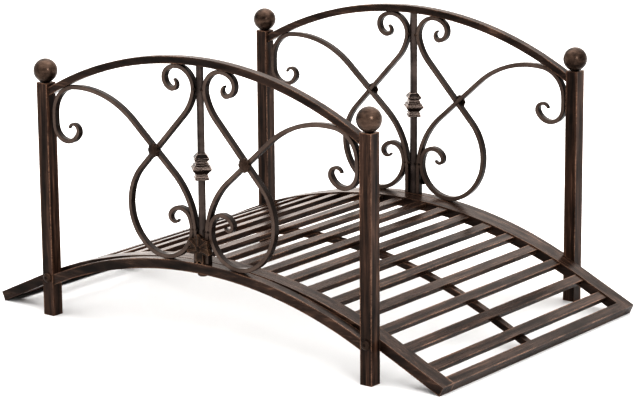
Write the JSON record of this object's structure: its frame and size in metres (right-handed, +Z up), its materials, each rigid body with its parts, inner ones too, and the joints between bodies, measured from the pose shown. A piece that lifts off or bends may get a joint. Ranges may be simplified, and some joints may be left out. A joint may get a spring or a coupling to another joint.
{
  "type": "metal garden bridge",
  "caption": "Low arched garden footbridge in bronze painted metal, slatted deck between two arched side railings with scrollwork, ball finials on square posts.",
  "frame": {"origin": "centre of the bridge's box on the ground it stands on", "axes": "+X along the walk over the bridge, +Y across it from the front panel to the back panel, +Z up"},
  "size_m": [1.054, 0.7162, 0.5444],
  "materials": {
    "bronze_paint": "dark antique bronze paint, brushed lengthwise, copper brown at the edges",
    "bronze_cast": "the same dark antique bronze paint over castings and pressed balls, slightly mottled"
  },
  "bodies": {
    "root": {"ball_back_left": "bronze_cast", "ball_back_right": "bronze_cast", "ball_front_left": "bronze_cast", "ball_front_right": "bronze_cast", "centre_bar_back": "bronze_paint", "centre_bar_front": "bronze_paint", "centre_runner": "bronze_paint", "collar_back": "bronze_cast", "collar_front": "bronze_cast", "deck_rail_back": "bronze_paint", "deck_rail_front": "bronze_paint", "end_bar_left": "bronze_paint", "end_bar_right": "bronze_paint", "inner_scroll_back_left": "bronze_paint", "inner_scroll_back_right": "bronze_paint", "inner_scroll_front_left": "bronze_paint", "inner_scroll_front_right": "bronze_paint", "leaf_casting_back": "bronze_cast", "leaf_casting_front": "bronze_cast", "lower_rail_back": "bronze_paint", "lower_rail_front": "bronze_paint", "outer_scroll_back_left": "bronze_paint", "outer_scroll_back_right": "bronze_paint", "outer_scroll_front_left": "bronze_paint", "outer_scroll_front_right": "bronze_paint", "post_back_left": "bronze_paint", "post_back_right": "bronze_paint", "post_front_left": "bronze_paint", "post_front_right": "bronze_paint", "rosettes_back": "bronze_cast", "rosettes_front": "bronze_cast", "slat_01": "bronze_paint", "slat_02": "bronze_paint", "slat_03": "bronze_paint", "slat_04": "bronze_paint", "slat_05": "bronze_paint", "slat_06": "bronze_paint", "slat_07": "bronze_paint", "slat_08": "bronze_paint", "slat_09": "bronze_paint", "slat_10": "bronze_paint", "slat_11": "bronze_paint", "slat_12": "bronze_paint", "slat_13": "bronze_paint", "slat_14": "bronze_paint", "slat_15": "bronze_paint", "slat_16": "bronze_paint", "slat_17": "bronze_paint", "slat_18": "bronze_paint", "slat_19": "bronze_paint", "top_rail_back": "bronze_paint", "top_rail_front": "bronze_paint"}
  },
  "joints": []
}
